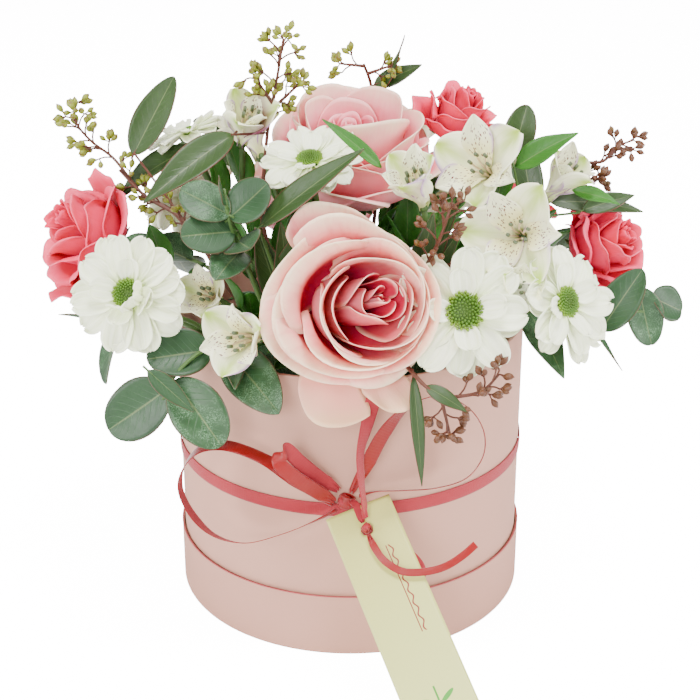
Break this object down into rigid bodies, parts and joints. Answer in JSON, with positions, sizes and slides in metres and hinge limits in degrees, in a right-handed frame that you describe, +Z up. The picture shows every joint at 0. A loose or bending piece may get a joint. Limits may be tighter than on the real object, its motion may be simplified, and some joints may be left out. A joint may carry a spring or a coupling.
{
  "type": "flower box",
  "caption": "Round paper hat box standing in its lid, holding foam with roses, daisies, lilies and eucalyptus, with a tied ribbon bow and a hanging gift tag.",
  "frame": {"origin": "middle of the lid's underside, on the table", "axes": "+Z up; -Y towards the front, where the bow and the tag are; +X to the right of that front"},
  "size_m": [0.362, 0.3778, 0.3248],
  "materials": {
    "lid_paper": "matte",
    "box_paper": "matte",
    "clear_film": "gloss",
    "floral_foam": "matte",
    "satin_ribbon": "satin",
    "tag_card": "satin",
    "pink_rose_petal": "satin",
    "coral_rose_petal": "satin",
    "daisy_petal": "satin",
    "alstroemeria_petal": "satin",
    "seeded_eucalyptus": "satin",
    "long_leaf": "satin",
    "silver_leaf": "satin"
  },
  "bodies": {
    "lid": {"lid_rim": "lid_paper", "lid_disc": "lid_paper"},
    "box": {"box_wall": "box_paper", "box_floor": "box_paper", "ribbon_band": "satin_ribbon", "ribbon_knot": "satin_ribbon", "loop_left": "satin_ribbon", "loop_small": "satin_ribbon", "loop_right": "satin_ribbon", "strand_up": "satin_ribbon", "tail_side": "satin_ribbon", "tag_tie": "satin_ribbon"},
    "arrangement": {"liner": "clear_film", "floral_foam": "floral_foam", "rose_front": "pink_rose_petal", "rose_back": "pink_rose_petal", "rose_rear": "pink_rose_petal", "spray_rose_left": "coral_rose_petal", "spray_rose_upper": "coral_rose_petal", "spray_rose_right": "coral_rose_petal", "spray_rose_rear": "coral_rose_petal", "daisy_left": "daisy_petal", "daisy_centre": "daisy_petal", "daisy_right": "daisy_petal", "daisy_top": "daisy_petal", "daisy_far_left": "daisy_petal", "daisy_rear_left": "daisy_petal", "daisy_rear_right": "daisy_petal", "alstroemeria_upper_right": "alstroemeria_petal", "alstroemeria_right": "alstroemeria_petal", "alstroemeria_centre": "alstroemeria_petal", "alstroemeria_far_right": "alstroemeria_petal", "alstroemeria_left": "alstroemeria_petal", "alstroemeria_low_left": "alstroemeria_petal", "alstroemeria_upper_left": "alstroemeria_petal", "alstroemeria_rear_left": "alstroemeria_petal", "alstroemeria_rear_right": "alstroemeria_petal", "alstroemeria_rear": "alstroemeria_petal", "seeded_eucalyptus_left": "seeded_eucalyptus", "seeded_eucalyptus_top": "seeded_eucalyptus", "seeded_eucalyptus_back": "seeded_eucalyptus", "seeded_eucalyptus_right": "seeded_eucalyptus", "seeded_eucalyptus_middle": "seeded_eucalyptus", "seeded_eucalyptus_low": "seeded_eucalyptus", "long_eucalyptus_centre": "long_leaf", "long_eucalyptus_right": "long_leaf", "long_eucalyptus_rear": "long_leaf", "silver_dollar_upper": "silver_leaf", "silver_dollar_low_left": "silver_leaf", "silver_dollar_left": "silver_leaf", "silver_dollar_right": "silver_leaf", "silver_dollar_rear_left": "silver_leaf", "silver_dollar_rear": "silver_leaf", "silver_dollar_rear_right": "silver_leaf"},
    "tag": {"gift_tag": "tag_card", "tag_knot": "satin_ribbon", "tail_front": "satin_ribbon"}
  },
  "joints": [
    {"name": "box_lift", "type": "slide", "parent": "lid", "child": "box", "axis": [0, 0, 1], "range_m": [0, 0.06]},
    {"name": "arrangement_lift", "type": "slide", "parent": "box", "child": "arrangement", "axis": [0, 0, 1], "range_m": [0, 0.17]},
    {"name": "tag_swing", "type": "hinge", "parent": "box", "child": "tag", "pos_m": [0.00856, -0.1234, 0.09263], "axis": [-0.9259, -0.204, -0.318], "range_deg": [0, 60]}
  ]
}
